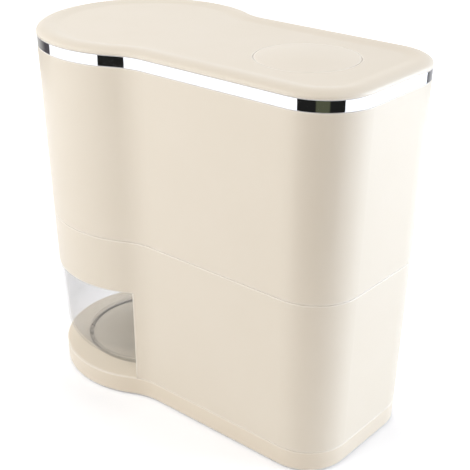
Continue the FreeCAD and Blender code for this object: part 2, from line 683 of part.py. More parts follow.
# ---- metering box, its cover and the silicone wiper ------------------------------------------
metering_box = new_body("metering_box")
channel_floor = ceiling_top + plate
box_plan = box_outline(metering_box, "XY_Plane", ceiling_top, (-box_half, slide_front),
                       (box_half, box_back + box_wall), "box_plan")
raise_pad(metering_box, box_plan, box_top - ceiling_top, "box_solid")
box_post_pads = rings(metering_box, "XY_Plane", ceiling_top, box_posts, post_radius, "box_posts")
raise_pad(metering_box, box_post_pads, box_top - ceiling_top, "box_post_pads")
collar_plan = box_outline(metering_box, "XY_Plane", collar_low,
                          (-slot_half - collar_rim, outlet_front - collar_rim),
                          (slot_half + collar_rim, outlet_back + collar_rim), "collar_plan")
raise_pad(metering_box, collar_plan, ceiling_top - collar_low + plate / 2, "outlet_collar")
channel_plan = box_outline(metering_box, "XY_Plane", box_top, (-channel_half, slide_front - over),
                           (channel_half, box_back), "channel_plan")
cut_pocket(metering_box, channel_plan, box_top - channel_floor, "channel")
outlet_plan = box_outline(metering_box, "XY_Plane", channel_floor, (-slot_half, outlet_front),
                          (slot_half, outlet_back), "outlet_plan")
cut_pocket(metering_box, outlet_plan, channel_floor - collar_low + over, "outlet")
upper_holes = rings(metering_box, "XY_Plane", box_top, box_posts, screw_radius + screw_play, "upper_holes")
cut_pocket(metering_box, upper_holes, screw_reach + over, "upper_hole_cut")
lower_holes = rings(metering_box, "XY_Plane", ceiling_top, box_posts, screw_radius + screw_play,
                    "lower_holes")
cut_pocket(metering_box, lower_holes, screw_reach + over, "lower_hole_cut", reverse=True)
spigot_radius = spring_radius - spring_wire - size("spigot_play", 0.6)
spigot_length = size("spigot_length", 6.0)
spigot_plan = rings(metering_box, "XZ_Plane", -box_back - over, [(0, button_level)], spigot_radius,
                    "spigot_plan")
raise_pad(metering_box, spigot_plan, spigot_length + over, "spring_spigot")

metering_cover = new_body("metering_cover")
cover_plan = box_outline(metering_cover, "XY_Plane", box_top, (-box_half, slide_front),
                         (box_half, box_back + box_wall), "cover_plan")
raise_pad(metering_cover, cover_plan, plate, "cover_plate")
cover_ears = rings(metering_cover, "XY_Plane", box_top, box_posts, post_radius, "cover_ears")
raise_pad(metering_cover, cover_ears, plate, "cover_ear_pads")
inlet_low, inlet_high = (-slot_half, portion_front), (slot_half, slot_back)
inlet_plan = box_outline(metering_cover, "XY_Plane", box_top, inlet_low, inlet_high, "inlet_plan")
cut_pocket(metering_cover, inlet_plan, plate + over, "inlet", reverse=True)
wiper_play = size("wiper_play", 0.2)
rim = wiper_width + wiper_play
wiper_seat = box_outline(metering_cover, "XY_Plane", box_top, (-slot_half - rim, portion_front - rim),
                         (slot_half + rim, slot_back + rim), "wiper_seat")
cut_pocket(metering_cover, wiper_seat, wiper_thick, "wiper_seat_cut", reverse=True)
cover_holes = rings(metering_cover, "XY_Plane", box_top, box_posts, screw_radius + screw_play,
                    "cover_holes")
cut_pocket(metering_cover, cover_holes, plate + over, "cover_hole_cut", reverse=True)
head_sink = head_height + screw_play
head_seats = rings(metering_cover, "XY_Plane", seam_level, box_posts, head_radius + gap, "head_seats")
cut_pocket(metering_cover, head_seats, head_sink, "head_seat_cut")

inlet_wiper = new_body("inlet_wiper")
wiper_plan = box_outline(inlet_wiper, "XY_Plane", box_top,
                         (-slot_half - wiper_width, portion_front - wiper_width),
                         (slot_half + wiper_width, slot_back + wiper_width), "wiper_plan")
raise_pad(inlet_wiper, wiper_plan, wiper_thick, "wiper_solid")
wiper_hole = box_outline(inlet_wiper, "XY_Plane", box_top, inlet_low, inlet_high, "wiper_hole")
cut_pocket(inlet_wiper, wiper_hole, wiper_thick + over, "wiper_hole_cut", reverse=True)

# ---- metering slide ---------------------------------------------------------------------------
metering_slide = new_body("metering_slide")
slide_low = channel_floor + gap
slide_high = box_top - gap
slide_plan = box_outline(metering_slide, "XY_Plane", slide_low, (-slide_half, slide_front),
                         (slide_half, slide_back), "slide_plan")
raise_pad(metering_slide, slide_plan, slide_high - slide_low, "slide_solid")
portion_plan = box_outline(metering_slide, "XY_Plane", slide_low, inlet_low, inlet_high, "portion_plan")
cut_pocket(metering_slide, portion_plan, slide_high - slide_low + over, "portion_hole", reverse=True)
slide_skin = size("slide_skin", 2.4)
hollow_plan = box_outline(metering_slide, "XY_Plane", slide_low,
                          (-slide_half + slide_skin, slide_front + slide_skin),
                          (slide_half - slide_skin, portion_front - slide_skin), "hollow_plan")
cut_pocket(metering_slide, hollow_plan, slide_high - slide_low - slide_skin, "slide_hollow", reverse=True)
link_side = size("link_side", 26.0)
link_places = [(link_side * side, button_level) for side in (-1, 1)]
slide_holes = rings(metering_slide, "XZ_Plane", -slide_front - slide_skin, link_places,
                    screw_radius + screw_play, "slide_holes")
cut_pocket(metering_slide, slide_holes, slide_skin + over, "slide_hole_cut", reverse=True)

# ---- press button: curved cap, stem and flange ------------------------------------------------
press_button = new_body("press_button")
cap_stadium = stadium(press_button, button_inside, button_length, button_height, button_level,
                      "cap_stadium")
raise_pad(press_button, cap_stadium, nose_here + button_proud * 2 - button_inside, "cap_block")
face = nose_here + button_proud
face_low, face_high = button_level - button_height, button_level + button_height
face_section = box_outline(press_button, "XZ_Plane", 0, (face, face_low),
                           (face + button_length / 4, face_high), "face_section")
curved = turn(press_button, face_section, "Groove", "curved_face")
doc.recompute()
button_round = size("button_round", 1.5)
round_edges(press_button, curved, button_round,
            lambda edge: on_cylinder(edge, face.value), "button_round")
cap_skin = size("cap_skin", 2.6)
cap_hollow = stadium(press_button, button_inside, button_length - cap_skin * 2,
                     button_height - cap_skin * 2, button_level, "cap_hollow")
hollow_depth = root_of(face * face - button_length * button_length / 4) - cap_skin - button_inside
cut_pocket(press_button, cap_hollow, hollow_depth, "cap_hollow_cut", reverse=True)
stem_half = size("stem_half", 20.0)
stem_rise = size("stem_rise", 8.0)
link_flange = size("link_flange", 4.0)
link_face = -slide_front
stem_plan = box_outline(press_button, "XZ_Plane", link_face, (-stem_half, button_level - stem_rise),
                        (stem_half, button_level + stem_rise), "stem_plan")
raise_pad(press_button, stem_plan, face - cap_skin - link_face, "stem")
flange_half = link_side + head_radius + size("flange_margin", 1.0)
flange_plan = box_outline(press_button, "XZ_Plane", link_face, (-flange_half, button_level - stem_rise),
                          (flange_half, button_level + stem_rise), "flange_plan")
raise_pad(press_button, flange_plan, link_flange, "flange")
button_holes = rings(press_button, "XZ_Plane", link_face, link_places, screw_radius + screw_play,
                     "button_holes")
cut_pocket(press_button, button_holes, link_flange + over, "button_hole_cut", reverse=True)

# ---- button bezel: a curved flange on the nose and a tube through its wall --------------------


def trimmed(label, prism, inner_low, inner_high, outer):
    """The part of a prism that lies between an upright cone and a larger cylinder."""
    band = new_body(f"{label}_band")
    band_low, band_high = button_level - button_length, button_level + button_length
    section = polygon(band, "XZ_Plane", 0, [(inner_low, band_low), (outer, band_low), (outer, band_high),
                                           (inner_high, band_high)], f"{label}_section")
    turn(band, section, "Revolution", f"{label}_turn")
    common = doc.addObject("Part::Common", label)
    common.Base = band
    common.Tool = prism
    return common


def front_prism(label, length, height):
    body = new_body(label)
    outline = stadium(body, button_inside, length, height, button_level, f"{label}_outline")
    raise_pad(body, outline, nose_here, f"{label}_solid")
    return body


bezel_face = nose_here + bezel_proud
band_low_radius = nose_at(button_level - button_length)
band_high_radius = nose_at(button_level + button_length)
bezel_flange = trimmed("bezel_flange",
                       front_prism("flange_prism", tube_length + bezel_border * 2,
                                   tube_height + bezel_border * 2),
                       band_low_radius, band_high_radius, bezel_face)
tube_depth = size("tube_depth", 5.0)
bezel_tube = trimmed("bezel_tube", front_prism("tube_prism", tube_length, tube_height),
                     band_low_radius - tube_depth, band_high_radius - tube_depth, bezel_face)
bezel_whole = doc.addObject("Part::MultiFuse", "bezel_whole")
bezel_whole.Shapes = [bezel_flange, bezel_tube]
bezel_opening = front_prism("bezel_opening", button_length + button_play * 2,
                            button_height + button_play * 2)
button_bezel = doc.addObject("Part::Cut", "button_bezel")
button_bezel.Base = bezel_whole
button_bezel.Tool = bezel_opening

# ---- hopper floor: a four-sided funnel trimmed to the hopper's inside --------------------------
floor_low = seam_level
mouth_low = (-slot_half - floor_margin, portion_front - floor_margin)
mouth_high = (slot_half + floor_margin, slot_back + floor_margin)
spread = floor_rise / tan_of(side_slope)
back_spread = floor_rise / tan_of(floor_slope)


def funnel(label, level):
    """A solid with four plane sides that widens upwards from the mouth at one level."""
    item = doc.addObject("Part::Wedge", label)
    item.Placement.Rotation = Rotation(Vector(1, 0, 0), 90)
    bind(item, "Placement.Base.y", nose_place)
    bind(item, "Placement.Base.z", level)
    bind(item, "Xmin", mouth_low[0])
    bind(item, "Xmax", mouth_high[0])
    bind(item, "Zmin", -mouth_high[1])
    bind(item, "Zmax", -mouth_low[1])
    bind(item, "Ymin", 0)
    bind(item, "Ymax", floor_rise)
    bind(item, "X2min", mouth_low[0] - spread)
    bind(item, "X2max", mouth_high[0] + spread)
    bind(item, "Z2min", -mouth_high[1] - back_spread)
    bind(item, "Z2max", -mouth_low[1] + spread)
    return item


floor_plug = new_body("floor_plug")
plug_base = keyhole(floor_plug, floor_low, inset_at(floor_low) + wall + gap, "plug_base")
raise_pad(floor_plug, plug_base, floor_rise, "floor_plug_solid", taper=draft_angle)
floor_block = doc.addObject("Part::Common", "floor_block")
floor_block.Base = floor_plug
floor_block.Tool = funnel("funnel_under", floor_low)
floor_sheet = doc.addObject("Part::Cut", "floor_sheet")
floor_sheet.Base = floor_block
floor_sheet.Tool = funnel("funnel_over", floor_low + plate)
floor_slot = new_body("floor_slot")
floor_slot_plan = box_outline(floor_slot, "XY_Plane", floor_low - over, inlet_low, inlet_high,
                              "floor_slot_plan")
raise_pad(floor_slot, floor_slot_plan, plate + over * 2, "floor_slot_solid")
hopper_floor = doc.addObject("Part::Cut", "hopper_floor")
hopper_floor.Base = floor_sheet
hopper_floor.Tool = floor_slot

# ---- drawer bowl: a clear turned bowl with a foot ring and a grip over the skirt ----------------
drawer_bowl = new_body("drawer_bowl", -bowl_forward)
bowl_rim_level = skirt_level - bowl_drop
bowl_rim = nose_at(bowl_rim_level) - bay_lip - bowl_gap
bowl_floor = plinth_level + bowl_foot_height
lean = tan_of(bowl_lean)
bowl_heel = bowl_rim - (bowl_rim_level - bowl_floor) * lean
bowl_section = polygon(drawer_bowl, "XZ_Plane", 0,
                       [(0, bowl_floor), (bowl_heel, bowl_floor), (bowl_rim, bowl_rim_level),
                        (0, bowl_rim_level)], "bowl_section")
turn(drawer_bowl, bowl_section, "Revolution", "bowl_solid")
inner_floor = bowl_floor + bowl_wall
inner_rim = bowl_rim - bowl_wall
inner_heel = inner_rim - (bowl_rim_level - inner_floor) * lean
inner_section = polygon(drawer_bowl, "XZ_Plane", 0,
                        [(0, inner_floor), (inner_heel, inner_floor),
                         (inner_rim + lean * over, bowl_rim_level + over), (0, bowl_rim_level + over)],
                         "inner_section")
bowl_inside = turn(drawer_bowl, inner_section, "Groove", "bowl_inside")
inside_round = round_edges(drawer_bowl, bowl_inside, bowl_corner - bowl_wall,
                           lambda edge: at_level(edge, inner_floor.value), "inside_round")
round_edges(drawer_bowl, inside_round, bowl_corner, lambda edge: at_level(edge, bowl_floor.value),
            "bowl_round")
bowl_foot_radius = bowl_heel - bowl_foot_inset
foot_section = box_outline(drawer_bowl, "XZ_Plane", 0, (bowl_foot_radius - bowl_foot_width, plinth_level),
                           (bowl_foot_radius, inner_floor - bowl_wall / 4), "foot_section")
turn(drawer_bowl, foot_section, "Revolution", "foot_ring")
grip_play = size("grip_play", 0.8)
grip_top = skirt_level + grip_height
grip_inner = nose_at(grip_top) + grip_play - bowl_forward
grip_outer = grip_inner + grip_wall
grip_low = bowl_rim_level - bowl_wall
grip_root = bowl_rim - bowl_wall / 2
grip_section = polygon(drawer_bowl, "YZ_Plane", 0,
                       [(-grip_root, grip_low), (-grip_outer, grip_low), (-grip_outer, grip_top),
                        (-grip_inner, grip_top), (-grip_inner, bowl_rim_level),
                        (-grip_root, bowl_rim_level)],
                       "grip_section")
turn(drawer_bowl, grip_section, "Revolution", "grip", angle=grip_angle)

# ---- spring behind the slide --------------------------------------------------------------------
spring_line = doc.addObject("Part::Helix", "spring_line")
bind(spring_line, "Radius", spring_radius)
spring_height = spring_room - (spring_wire + spring_play) * 2
bind(spring_line, "Height", spring_height)
bind(spring_line, "Pitch", spring_height / spring_turns)
wire_ring = doc.addObject("Part::RegularPolygon", "wire_ring")
wire_ring.Polygon = 8
bind(wire_ring, "Circumradius", spring_wire)
bind(wire_ring, "Placement.Base.x", spring_radius)
wire_ring.Placement.Rotation = Rotation(Vector(1, 0, 0), 90)
return_spring = doc.addObject("Part::Sweep", "return_spring")
return_spring.Sections = [wire_ring]
return_spring.Spine = (spring_line, ["Edge1"])
return_spring.Solid = True
return_spring.Frenet = True
return_spring.Placement.Rotation = Rotation(Vector(1, 0, 0), -90)
bind(return_spring, "Placement.Base.y", nose_place + slide_back + spring_wire + spring_play)
bind(return_spring, "Placement.Base.z", button_level)


# ---- feet and screws ------------------------------------------------------------------------------
def cylinder(label, radius, height, x, y, level):
    item = doc.addObject("Part::Cylinder", label)
    bind(item, "Radius", radius)
    bind(item, "Height", height)
    bind(item, "Placement.Base.x", x)
    bind(item, "Placement.Base.y", nose_place + y)
    bind(item, "Placement.Base.z", level)
    return item


def group(label, items):
    compound = doc.addObject("Part::Compound", label)
    compound.Links = items
    return compound


def screws(label, places, seat, up):
    """Pan-head screws whose heads bear on one level, pointing up or down."""
    made = []
    for index, (x, y) in enumerate(places):
        head_low = seat - head_height if up else seat
        shank_low = seat if up else seat - screw_reach
        head = cylinder(f"{label}_head_{index}", head_radius, head_height, x, y, head_low)
        shank = cylinder(f"{label}_shank_{index}", screw_radius, screw_reach, x, y, shank_low)
        screw = doc.addObject("Part::Fuse", f"{label}_{index}")
        screw.Base, screw.Tool = head, shank
        made.append(screw)
    return group(label, made)


foot_pads = group("foot_pads", [cylinder(f"foot_pad_{index}", pad_radius, pad_height, x, y, 0)
                                for index, (x, y) in enumerate(foot_places)])
base_screws = screws("base_screws", post_places, plinth_level - plate, True)
ceiling_screws = screws("ceiling_screws", box_posts, ceiling_bottom, True)
cover_screws = screws("cover_screws", box_posts, seam_level - head_sink, False)
link_screws_made = []
for index, (x, level) in enumerate(link_places):
    head = doc.addObject("Part::Cylinder", f"link_head_{index}")
    shank = doc.addObject("Part::Cylinder", f"link_shank_{index}")
    bind(head, "Radius", head_radius)
    bind(head, "Height", head_height)
    bind(shank, "Radius", screw_radius)
    bind(shank, "Height", screw_reach)
    flange_face = slide_front - link_flange
    for item, front in ((head, flange_face - head_height), (shank, flange_face)):
        item.Placement.Rotation = Rotation(Vector(1, 0, 0), -90)
        bind(item, "Placement.Base.x", x)
        bind(item, "Placement.Base.y", nose_place + front)
        bind(item, "Placement.Base.z", level)
    screw = doc.addObject("Part::Fuse", f"link_screw_{index}")
    screw.Base, screw.Tool = head, shank
    link_screws_made.append(screw)
link_screws = group("link_screws", link_screws_made)

doc.recompute()
nodes = [base_plate, foot_pads, base_screws, lower_housing, upper_housing, trim_ring, hopper_floor,
         metering_box, metering_cover, inlet_wiper, metering_slide, press_button, link_screws,
         button_bezel, return_spring, ceiling_screws, cover_screws, lid_cover, lid_disc, lid_liner,
         lid_seal, case_cup, case_cap, drawer_bowl]
for item in doc.Objects:
    if "Invalid" in item.State or "Error" in item.State:
        raise RuntimeError(f"{item.Label} was not built: {item.State}")
for node in nodes:
    shape = node.Shape
    if shape.isNull() or not shape.isValid() or not shape.Solids:
        raise RuntimeError(f"{node.Label} has no sound solid")
    shape.exportStep(f"parts/{node.Label}.step")
    print(f"{node.Label:16s} solids {len(shape.Solids)}  volume {shape.Volume / 1000:9.2f} cm3")
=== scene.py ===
import math

import bpy
import numpy as np
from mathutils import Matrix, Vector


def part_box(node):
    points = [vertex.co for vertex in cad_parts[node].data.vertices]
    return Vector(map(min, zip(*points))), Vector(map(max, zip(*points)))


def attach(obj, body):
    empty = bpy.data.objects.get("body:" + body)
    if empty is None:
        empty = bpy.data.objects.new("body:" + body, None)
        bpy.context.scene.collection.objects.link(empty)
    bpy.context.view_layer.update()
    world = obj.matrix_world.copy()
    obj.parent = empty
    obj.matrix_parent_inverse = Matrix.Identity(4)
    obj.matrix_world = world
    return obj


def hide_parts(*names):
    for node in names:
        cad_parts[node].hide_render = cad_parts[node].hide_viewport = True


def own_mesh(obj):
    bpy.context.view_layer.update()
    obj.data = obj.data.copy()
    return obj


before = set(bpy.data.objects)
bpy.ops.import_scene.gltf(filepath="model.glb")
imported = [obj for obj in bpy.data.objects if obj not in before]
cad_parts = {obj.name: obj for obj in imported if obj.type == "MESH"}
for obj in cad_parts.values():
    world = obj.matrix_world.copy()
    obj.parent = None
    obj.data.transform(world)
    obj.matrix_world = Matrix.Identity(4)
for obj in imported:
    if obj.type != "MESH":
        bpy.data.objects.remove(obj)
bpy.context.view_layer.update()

# ---- Camera ----------------------------------------------------------------------------------
# The dispenser stands on z 0 with its round nose towards -Y and its straight rear wall towards +Y.
# The camera stands off the right rear corner and looks down on the lid. Angles are azimuths from -Y
# towards +X, and a small shift of the lens centres the picture.
AIM, DISTANCE = np.array([0.0127, 0.0125, 0.1190]), 0.901864
AZIMUTH, ELEVATION = math.radians(130.736), math.radians(27.517)
SENSOR, FOCAL_LENGTH = 36, 76.0572
SHIFT_X, SHIFT_Y = 0.0348, 0.0830
back = np.array([math.sin(AZIMUTH) * math.cos(ELEVATION), -math.cos(AZIMUTH) * math.cos(ELEVATION),
                 math.sin(ELEVATION)])
lens = bpy.data.cameras.new("camera")
lens.sensor_width = SENSOR
lens.lens = FOCAL_LENGTH
lens.shift_x = SHIFT_X
lens.shift_y = SHIFT_Y
lens.clip_start = 0.01
camera = bpy.data.objects.new("camera", lens)
camera.location = AIM + back * DISTANCE
camera.rotation_euler = (math.pi / 2 - ELEVATION, 0, math.atan2(back[0], -back[1]))
bpy.context.scene.collection.objects.link(camera)
bpy.context.scene.camera = camera
bpy.context.scene.view_settings.view_transform = "Standard"


# ---- Studio ----------------------------------------------------------------------------------
# A pale table and a white surround, lit by two large soft boxes: one off the nose and one off the
# rear wall, so that the corner between them falls a little darker. A small one lights the open bay.
# Upright cards off the corner, neck, nose and rear show only in the mirror of the bright plating.
def linear(colour):
    """An sRGB hex colour such as "#ece3d0" as linear red, green, blue and full alpha."""
    parts = np.array([int(colour[i:i + 2], 16) for i in (1, 3, 5)]) / 255
    parts = np.where(parts <= 0.04045, parts / 12.92, ((parts + 0.055) / 1.055) ** 2.4)
    return (*parts.tolist(), 1.0)


def add(tree, kind, sockets=None, **settings):
    """Adds one node, sets its properties, and sets or links each named or numbered input."""
    node = tree.nodes.new(kind)
    for name, value in settings.items():
        setattr(node, name, value)
    for name, value in (sockets or {}).items():
        if isinstance(value, bpy.types.NodeSocket):
            tree.links.new(value, node.inputs[name])
        else:
            node.inputs[name].default_value = value
    return node


def new_material(name):
    """An empty material with its output node."""
    material = bpy.data.materials.new(name)
    material.use_nodes = True
    material.node_tree.nodes.clear()
    return material, material.node_tree, add(material.node_tree, "ShaderNodeOutputMaterial")


def numbered(grids):
    """The corner numbers of several grids of points laid one after another in one list."""
    sizes = [grid.shape[0] * grid.shape[1] for grid in grids]
    starts = np.cumsum([0] + sizes)
    return [start + np.arange(size).reshape(grid.shape[:2])
            for start, size, grid in zip(starts, sizes, grids)]


def grid_mesh(name, grids, around=False, along=False, material=None, smooth=True, fills=()):
    """A mesh through one grid of points (rows, columns, 3) or a list of them. around joins the last
    column to the first, along joins the last row to the first. A face's corners run along the columns,
    then up the rows. fills are further flat faces, each a run of corner numbers."""
    grids = grids if isinstance(grids, list) else [grids]
    faces = []
    for index in numbered(grids):
        if around:
            index = np.concatenate([index, index[:, :1]], 1)
        if along:
            index = np.concatenate([index, index[:1]], 0)
        quads = np.stack([index[:-1, :-1], index[:-1, 1:], index[1:, 1:], index[1:, :-1]], -1)
        faces += quads.reshape(-1, 4).tolist()
    faces += [np.asarray(fill).tolist() for fill in fills]
    mesh = bpy.data.meshes.new(name)
    mesh.from_pydata(np.concatenate([grid.reshape(-1, 3) for grid in grids]).tolist(), [], faces)
    mesh.polygons.foreach_set("use_smooth", np.full(len(faces), smooth))
    piece = bpy.data.objects.new(name, mesh)
    bpy.context.scene.collection.objects.link(piece)
    if material is not None:
        mesh.materials.append(material)
    return piece


def seen_rays(tree):
    """1 for a ray that looks at a surface straight, in a mirror or through a clear wall, and 0 for one
    that only gathers light: the greatest of the three kinds of Light Path."""
    path = add(tree, "ShaderNodeLightPath")
    seen = path.outputs["Is Camera Ray"]
    for kind in ("Is Glossy Ray", "Is Transmission Ray"):
        seen = add(tree, "ShaderNodeMath", {0: seen, 1: path.outputs[kind]}, operation="MAXIMUM").outputs[0]
    return seen


# The surround is pure white to the eye and gives a dimmer, slightly warm light.
AMBIENT, SURROUND = 0.45, 1.0
world = bpy.data.worlds.new("white_surround")
world.use_nodes = True
bpy.context.scene.world = world
tree = world.node_tree
tree.nodes.clear()
seen = seen_rays(tree)
level = add(tree, "ShaderNodeMapRange", {"Value": seen, "To Min": AMBIENT, "To Max": SURROUND})
shade = add(tree, "ShaderNodeMix", {0: seen, 6: linear("#ffeede"), 7: linear("#ffffff")},
            data_type="RGBA")
surround = add(tree, "ShaderNodeBackground", {"Color": shade.outputs[2], "Strength": level.outputs[0]})
add(tree, "ShaderNodeOutputWorld", {"Surface": surround.outputs[0]})

# Matt white paper. A glow that is seen but not cast grows from SHADOW_REACH, which keeps the shadow
# round the dispenser, to WHITE_REACH, where the paper is as white as the surround.
TABLE_REACH, TABLE_LEVEL = 9.0, -0.0004
SHADOW_REACH, WHITE_REACH, SHADOW_GLOW, WHITE_GLOW = 0.35, 1.6, 0.26, 0.72
table_finish, tree, output = new_material("table_paper_white")
place = add(tree, "ShaderNodeTexCoord").outputs["Object"]
reach = add(tree, "ShaderNodeVectorMath", {0: place}, operation="LENGTH")
spread = add(tree, "ShaderNodeMapRange", {"Value": reach.outputs["Value"], "From Min": SHADOW_REACH,
                                          "From Max": WHITE_REACH, "To Min": SHADOW_GLOW,
                                          "To Max": WHITE_GLOW})
lift = add(tree, "ShaderNodeMath", {0: seen_rays(tree), 1: spread.outputs[0]}, operation="MULTIPLY")
paper = add(tree, "ShaderNodeBsdfPrincipled", {"Base Color": linear("#f4f4f4"), "Roughness": 0.9,
                                               "Emission Color": linear("#eff6ff"),
                                               "Emission Strength": lift.outputs[0]})
tree.links.new(paper.outputs[0], output.inputs["Surface"])
radius, azimuth = np.meshgrid(np.linspace(0, TABLE_REACH, 9), np.linspace(0, 2 * math.pi, 65),
                              indexing="ij")
round_top = np.stack([radius * np.sin(azimuth), -radius * np.cos(azimuth),
                      np.full_like(radius, TABLE_LEVEL)], -1)
table = grid_mesh("table_top", round_top, material=table_finish, smooth=False)

# Cards that glow evenly in their own colour, seen only where a surface mirrors them.
mirror_glow, tree, output = new_material("card_cloth")
glow_colour = add(tree, "ShaderNodeAttribute", attribute_name="tint")
glow = add(tree, "ShaderNodeEmission", {"Color": glow_colour.outputs["Color"]})
tree.links.new(glow.outputs[0], output.inputs["Surface"])


CARD_STEPS = 161


def flag(name, centre, radius, low, high, tints):
    """An upright card curved round a centre, which only mirrors see. tints pairs azimuths in degrees
    with colours, and the colour runs evenly from each azimuth to the next."""
    stops = np.array([azimuth for azimuth, _ in tints])
    colours = np.array([linear(colour) for _, colour in tints])
    azimuth = np.linspace(stops[0], stops[-1], CARD_STEPS)
    x = centre[0] + radius * np.sin(np.radians(azimuth))
    y = centre[1] - radius * np.cos(np.radians(azimuth))
    card = grid_mesh(name, np.stack([np.stack([x, y, np.full_like(x, z)], -1) for z in (low, high)]),
                     material=mirror_glow, smooth=False)
    tint = np.stack([np.interp(azimuth, stops, channel) for channel in colours.T], -1)
    shades = card.data.attributes.new("tint", "FLOAT_COLOR", "POINT")
    shades.data.foreach_set("color", np.tile(tint, (2, 1)).ravel())
    card.visible_camera = card.visible_diffuse = card.visible_shadow = card.visible_transmission = False
    return card


# The cards stand round the dispenser, or round the centre of an arc of its rim, at the heights that
# the band mirrors.
BLACK, OLIVE, SLATE, PEARL = "#222221", "#565945", "#5b585c", "#e6e4e0"
PALE_SLATE, SILVER = "#6d6d70", "#e2e2e5"
NOSE_CENTRE, RIGHT_CORNER, LEFT_CORNER = (0, -0.08), (0.034, 0.1313), (-0.034, 0.1313)
flag("flag_neck", (0, 0), radius=0.9, low=0.045, high=0.11,
              tints=[(79.0, BLACK), (102.0, BLACK)])
flag("flag_corner", RIGHT_CORNER, radius=0.35, low=0.0, high=0.24,
              tints=[(81.2, BLACK), (113.5, BLACK), (115.5, OLIVE), (137.0, OLIVE), (140.0, BLACK),
                     (165.2, BLACK)])
flag("flag_nose", NOSE_CENTRE, radius=0.35, low=0.20, high=0.28,
              tints=[(-12.0, PEARL), (18.0, SLATE), (27.8, SLATE)])
flag("flag_rear", LEFT_CORNER, radius=0.35, low=0.19, high=0.25,
              tints=[(242.5, PALE_SLATE), (277.0, SILVER)])

MIDDLE = np.array([0, 0, 0.17])


def soft_box(name, azimuth, elevation, distance, width, height, power, colour=(1, 1, 1)):
    """A rectangular lamp that faces the middle of the dispenser, from a direction in degrees."""
    azimuth, elevation = math.radians(azimuth), math.radians(elevation)
    lamp = bpy.data.lights.new(name, "AREA")
    lamp.shape, lamp.size, lamp.size_y, lamp.energy = "RECTANGLE", width, height, power
    lamp.color = colour
    holder = bpy.data.objects.new(name, lamp)
    away = np.array([math.sin(azimuth) * math.cos(elevation), -math.cos(azimuth) * math.cos(elevation),
                     math.sin(elevation)])
    holder.location = MIDDLE + away * distance
    holder.rotation_euler = (math.pi / 2 - elevation, 0, math.atan2(away[0], -away[1]))
    bpy.context.scene.collection.objects.link(holder)
    return holder


nose_light = soft_box("soft_box_nose", azimuth=58, elevation=42, distance=1.70, width=1.25, height=1.35,
                      power=16.6, colour=(1.0, 1.05, 1.12))
nose_light.visible_glossy = False
soft_box("soft_box_rear", azimuth=217, elevation=16, distance=1.70, width=1.2, height=1.2,
         power=17.6, colour=(1.0, 1.15, 1.37))
bay_light = soft_box("soft_box_bay", azimuth=318, elevation=16, distance=1.30, width=0.9, height=0.5,
                     power=5.8)
bay_light.visible_glossy = False

# ---- Housings and plinth -----------------------------------------------------------------------
# Two tapered tubes and a tray of cream ABS, injection moulded. The upper tube's tongue drops into the
# lower one and leaves a narrow open joint, and the tray is screwed on from below. The spark-eroded
# tool gives the eye an even satin sheen, and a painted highlight makes the edges a little paler than
# the flats.
CLOUD, GLOSS_DRIFT = 0.045, 0.04
SINK, SINK_DEPTH = 0.07, 0.0004
FINE_GRAIN, WAXY_GRAIN, GRAIN_DEPTH = 0.0009, 0.0012, 0.00002
# Edges are shaded round over this width, and within it a painted highlight pales them towards a warm white.
EDGE_ROUND_AND_HIGHLIGHT, EDGE_STARTS, EDGE_FULL, EDGE_HIGHLIGHT_SHARE, PAINTED_EDGE_HIGHLIGHT = 0.0018, 0.999, 0.975, 0.95, "#fffaf0"


def moulded(name, colour, drift, roughness, grain=FINE_GRAIN):
    """Moulded plastic: a faint cloudiness of colour some centimetres wide, gloss that drifts with it,
    and a long shallow wave where the wall has shrunk over its ribs. The eroded grain is really about
    0.1 mm across and is drawn coarser, so that it shows. Edges are broken by the tool and shaded
    round, and a painted highlight makes them paler where the rounded normal leans away from the flat
    one, by the product of the two."""
    material, tree, output = new_material(name)
    place = add(tree, "ShaderNodeTexCoord").outputs["Object"]
    cloud = add(tree, "ShaderNodeTexNoise", {"Vector": place, "Scale": 1 / CLOUD, "Detail": 2.0})
    tint = add(tree, "ShaderNodeMix", {0: cloud.outputs["Fac"], 6: linear(colour), 7: linear(drift)},
               data_type="RGBA")
    gloss = add(tree, "ShaderNodeMapRange", {"Value": cloud.outputs["Fac"],
                                             "To Min": roughness - GLOSS_DRIFT,
                                             "To Max": roughness + GLOSS_DRIFT})
    eroded = add(tree, "ShaderNodeTexNoise", {"Vector": place, "Scale": 1 / grain, "Detail": 1.0})
    wave = add(tree, "ShaderNodeTexNoise", {"Vector": place, "Scale": 1 / SINK, "Detail": 0.0})
    edge = add(tree, "ShaderNodeBevel", {"Radius": EDGE_ROUND_AND_HIGHLIGHT}, samples=6)
    bend = add(tree, "ShaderNodeVectorMath", {0: edge.outputs[0],
                                              1: add(tree, "ShaderNodeNewGeometry").outputs["Normal"]},
               operation="DOT_PRODUCT")
    # A painted highlight: the colour pales where the rounded normal leans away from the flat one.
    rim = add(tree, "ShaderNodeMapRange", {"Value": bend.outputs["Value"], "From Min": EDGE_STARTS,
                                           "From Max": EDGE_FULL, "To Max": EDGE_HIGHLIGHT_SHARE})
    tint = add(tree, "ShaderNodeMix", {0: rim.outputs[0], 6: tint.outputs[2], 7: linear(PAINTED_EDGE_HIGHLIGHT)},
               data_type="RGBA")
    sink = add(tree, "ShaderNodeBump", {"Height": wave.outputs["Fac"], "Distance": SINK_DEPTH,
                                        "Strength": 0.5, "Normal": edge.outputs[0]})
    skin = add(tree, "ShaderNodeBump", {"Height": eroded.outputs["Fac"], "Distance": GRAIN_DEPTH,
                                        "Strength": 1.0, "Normal": sink.outputs[0]})
    body = add(tree, "ShaderNodeBsdfPrincipled", {"Base Color": tint.outputs[2], "IOR": 1.53,
                                                  "Roughness": gloss.outputs[0],
                                                  "Normal": skin.outputs[0]})
    tree.links.new(body.outputs[0], output.inputs["Surface"])
    return material


def finish_node(node, material):
    """Gives a CAD node its material in every slot."""
    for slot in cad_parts[node].material_slots:
        slot.link = "OBJECT"
        slot.material = material


